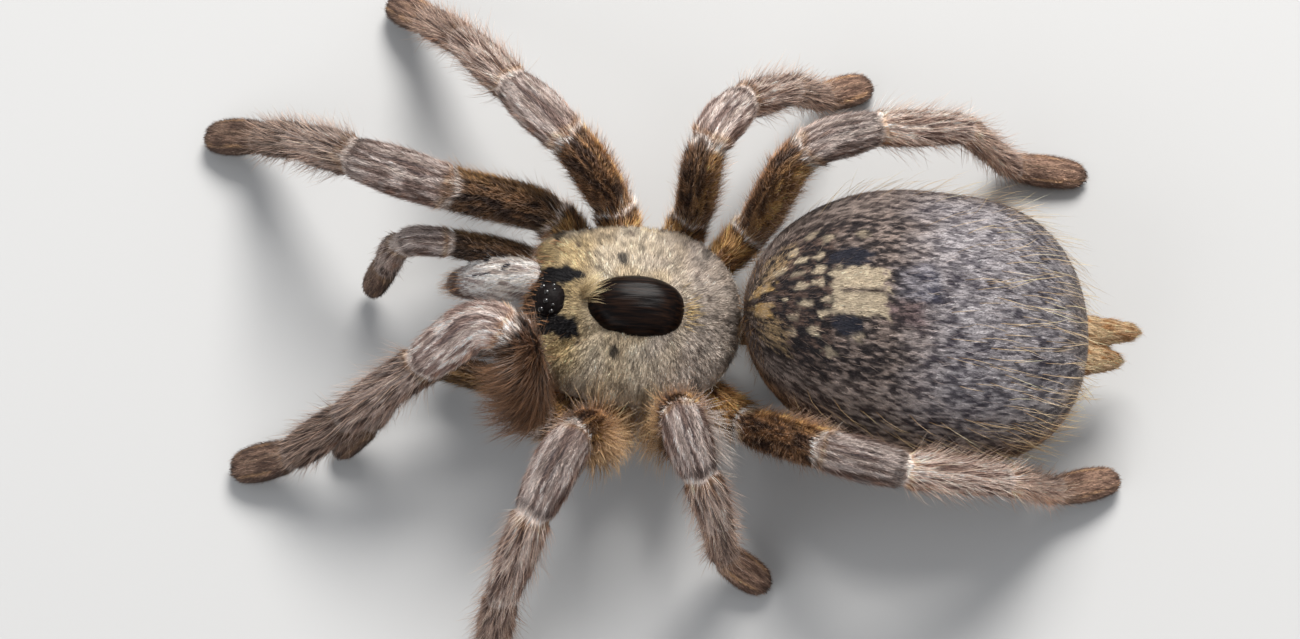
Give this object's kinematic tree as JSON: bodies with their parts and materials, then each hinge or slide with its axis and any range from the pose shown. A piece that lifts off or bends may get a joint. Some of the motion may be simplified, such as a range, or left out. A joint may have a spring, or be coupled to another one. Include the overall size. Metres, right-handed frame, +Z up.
{
  "type": "horned baboon tarantula, adult female",
  "caption": "Life-size still model of a hairy brown tarantula with a dark horn on its carapace, standing with its legs spread and its big egg-shaped abdomen behind.",
  "frame": {"origin": "middle of the whole animal's box, on the plane that its feet stand on", "axes": "+Z up, head toward -Y, the animal's left side toward +X"},
  "size_m": [0.0718, 0.0896, 0.0212],
  "materials": {
    "carapace_coat": "short flat golden-grey hair that radiates from the horn",
    "abdomen_coat": "short velvety hair, dark brown with fawn spots and flecks, long golden bristles behind",
    "leg_coat": "short grey-brown hair with pale rings at the joints and long thin bristles",
    "femur_coat": "dense dark brown hair with golden-brown tips",
    "jaw_coat": "short pale grey-lilac hair",
    "spinneret_coat": "orange-fawn hair",
    "underside_coat": "dark brown velvety hair",
    "horn": "glossy near-black horn with fine brown streaks",
    "eye": "wet black",
    "fang": "glossy dark red-brown"
  },
  "bodies": {
    "root": {"abdomen": "abdomen_coat", "carapace": "carapace_coat", "chelicera_left": "jaw_coat", "chelicera_right": "jaw_coat", "eye_front_middle_left": "eye", "eye_front_middle_right": "eye", "eye_front_side_left": "eye", "eye_front_side_right": "eye", "eye_rear_middle_left": "eye", "eye_rear_middle_right": "eye", "eye_rear_side_left": "eye", "eye_rear_side_right": "eye", "eye_tubercle": "horn", "fang_left": "fang", "fang_right": "fang", "foveal_horn": "horn", "leg_1_left_coxa": "femur_coat", "leg_1_left_femur": "femur_coat", "leg_1_left_tarsus": "leg_coat", "leg_1_left_tibia": "leg_coat", "leg_1_right_coxa": "femur_coat", "leg_1_right_femur": "femur_coat", "leg_1_right_tarsus": "leg_coat", "leg_1_right_tibia": "leg_coat", "leg_2_left_coxa": "femur_coat", "leg_2_left_femur": "femur_coat", "leg_2_left_tarsus": "leg_coat", "leg_2_left_tibia": "leg_coat", "leg_2_right_coxa": "femur_coat", "leg_2_right_femur": "femur_coat", "leg_2_right_tarsus": "leg_coat", "leg_2_right_tibia": "leg_coat", "leg_3_left_coxa": "femur_coat", "leg_3_left_femur": "femur_coat", "leg_3_left_tarsus": "leg_coat", "leg_3_left_tibia": "leg_coat", "leg_3_right_coxa": "femur_coat", "leg_3_right_femur": "femur_coat", "leg_3_right_tarsus": "leg_coat", "leg_3_right_tibia": "leg_coat", "leg_4_left_coxa": "femur_coat", "leg_4_left_femur": "femur_coat", "leg_4_left_tarsus": "leg_coat", "leg_4_left_tibia": "leg_coat", "leg_4_right_coxa": "femur_coat", "leg_4_right_femur": "femur_coat", "leg_4_right_tarsus": "leg_coat", "leg_4_right_tibia": "leg_coat", "palp_left_coxa": "femur_coat", "palp_left_femur": "femur_coat", "palp_left_tarsus": "leg_coat", "palp_right_coxa": "femur_coat", "palp_right_femur": "femur_coat", "palp_right_tarsus": "leg_coat", "pedicel": "underside_coat", "spinneret_left": "spinneret_coat", "spinneret_right": "spinneret_coat", "sternum": "underside_coat"}
  },
  "joints": []
}
